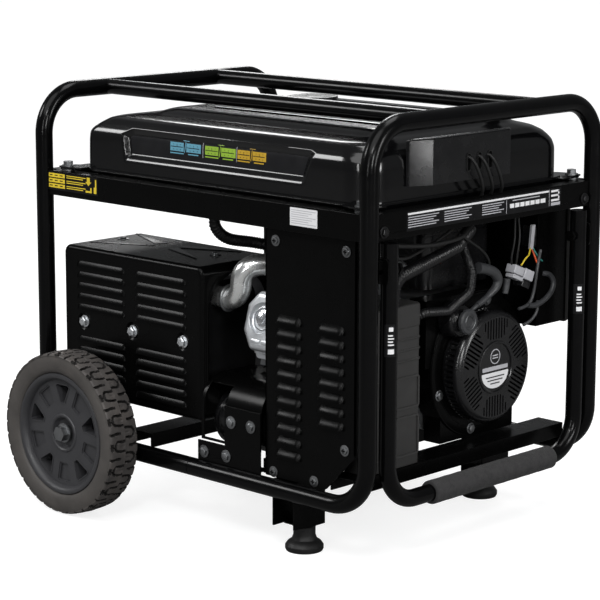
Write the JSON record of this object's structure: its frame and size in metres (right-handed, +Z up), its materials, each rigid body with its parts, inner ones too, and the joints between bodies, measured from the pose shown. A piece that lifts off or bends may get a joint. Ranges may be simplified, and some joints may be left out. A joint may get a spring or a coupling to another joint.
{
  "type": "portable generator",
  "caption": "Open-frame portable generator: tubular frame, overhead tank, guarded muffler, air-cooled engine and alternator, fold-down handle and two wheels.",
  "frame": {"origin": "on the ground plane under the middle of the frame", "axes": "+X towards the recoil starter and the folding handle, -X towards the wheels, +Y towards the control panel, -Y towards the muffler guard, +Z up"},
  "size_m": [0.719, 0.674, 0.655],
  "materials": {
    "frame_paint": "gloss black powder coat",
    "sheet_paint": "satin black powder coat",
    "tank_paint": "gloss black",
    "zinc": "bright zinc",
    "dark_steel": "black oxide",
    "alloy": "as cast",
    "iron": "painted",
    "windings": "laminated",
    "tyre": "moulded tread",
    "rim": "moulded",
    "plastic": "textured",
    "grey_plastic": "textured",
    "rubber": "moulded",
    "foam": "closed cell foam",
    "green": "gloss",
    "red": "gloss"
  },
  "bodies": {
    "frame": {"frame_left_hoop": "frame_paint", "frame_right_hoop": "frame_paint", "top_bars": "frame_paint", "cross_members": "frame_paint", "axle_brackets": "sheet_paint", "foot_brackets": "sheet_paint", "rubber_feet": "rubber", "band_near": "sheet_paint", "band_far": "sheet_paint", "band_ends": "sheet_paint", "axles": "zinc", "handle_pivots": "sheet_paint", "louver_panel": "sheet_paint", "sheet_screws": "dark_steel", "hex_bolts": "zinc", "canister_bracket": "sheet_paint", "carbon_canister": "plastic", "muffler_guard": "sheet_paint", "muffler": "dark_steel", "exhaust_pipe": "alloy", "tank_lower": "tank_paint", "tank_upper": "tank_paint", "tank_bolts": "zinc", "vent_cover": "plastic", "hoses_and_looms": "rubber", "crankcase": "alloy", "cylinder_barrel": "alloy", "cylinder_head": "alloy", "valve_cover": "alloy", "piston": "alloy", "stator": "iron", "end_housings": "alloy", "isolators": "rubber", "blower_housing": "sheet_paint", "recoil_cover": "plastic", "air_cleaner": "plastic", "carburettor": "alloy", "battery_box": "grey_plastic", "control_box": "sheet_paint", "panel_plate": "grey_plastic", "panel_outlets": "plastic"},
    "wheel_near": {"tyre_near": "tyre", "rim_near": "rim"},
    "wheel_far": {"tyre_far": "tyre", "rim_far": "rim"},
    "handle": {"handle_tube": "frame_paint", "handle_grip": "foam"},
    "crank": {"crankshaft": "zinc", "flywheel_fan": "iron", "rotor": "windings"},
    "starter_pulley": {"recoil_pulley": "plastic"},
    "starter_grip": {"recoil_grip": "plastic"},
    "cap": {"fuel_cap": "plastic"},
    "lid": {"outlet_lid": "plastic"},
    "start": {"start_button": "green"},
    "engine_rocker": {"engine_switch": "red"},
    "idle_rocker": {"idle_switch": "red"},
    "fuel_selector": {"fuel_knob": "plastic"},
    "breaker": {"main_breaker": "plastic"}
  },
  "joints": [
    {"name": "wheel_near_spin", "type": "hinge", "parent": "frame", "child": "wheel_near", "pos_m": [-0.225, -0.309, 0.127], "axis": [0, 1, 0], "continuous": true},
    {"name": "wheel_far_spin", "type": "hinge", "parent": "frame", "child": "wheel_far", "pos_m": [-0.225, 0.309, 0.127], "axis": [0, 1, 0], "continuous": true},
    {"name": "handle_fold", "type": "hinge", "parent": "frame", "child": "handle", "pos_m": [0.346, 0, 0.44], "axis": [0, -1, 0], "range_deg": [0, 90]},
    {"name": "crank_spin", "type": "hinge", "parent": "frame", "child": "crank", "pos_m": [0, 0.075, 0.25], "axis": [1, 0, 0], "continuous": true},
    {"name": "starter_pull", "type": "slide", "parent": "frame", "child": "starter_grip", "axis": [1, 0, 0], "range_m": [0, 0.5], "stiffness_N_per_m": 20},
    {"name": "pulley_spin", "type": "hinge", "parent": "frame", "child": "starter_pulley", "pos_m": [0.285, 0.075, 0.25], "axis": [1, 0, 0], "range_deg": [0, 531]},
    {"name": "cap_turn", "type": "hinge", "parent": "frame", "child": "cap", "pos_m": [-0.04, 0.04, 0.63], "axis": [0, 0, 1], "range_deg": [0, 90]},
    {"name": "lid_open", "type": "hinge", "parent": "frame", "child": "lid", "pos_m": [-0.018, 0.2585, 0.4055], "axis": [1, 0, 0], "range_deg": [0, 120]},
    {"name": "start_press", "type": "slide", "parent": "frame", "child": "start", "axis": [0, -1, 0], "range_m": [0, 0.003], "stiffness_N_per_m": 400},
    {"name": "engine_rock", "type": "hinge", "parent": "frame", "child": "engine_rocker", "pos_m": [0.214, 0.251, 0.436], "axis": [-1, 0, 0], "range_deg": [0, 16]},
    {"name": "idle_rock", "type": "hinge", "parent": "frame", "child": "idle_rocker", "pos_m": [0.166, 0.251, 0.436], "axis": [-1, 0, 0], "range_deg": [0, 16]},
    {"name": "fuel_select", "type": "hinge", "parent": "frame", "child": "fuel_selector", "pos_m": [0.112, 0.253, 0.436], "axis": [0, 1, 0], "range_deg": [0, 90]},
    {"name": "breaker_flip", "type": "hinge", "parent": "frame", "child": "breaker", "pos_m": [-0.019, 0.251, 0.44], "axis": [1, 0, 0], "range_deg": [-30, 0]}
  ],
  "couplings": [
    {"joint": "pulley_spin", "follows": "starter_pull", "rad_per_m": 18.5}
  ]
}
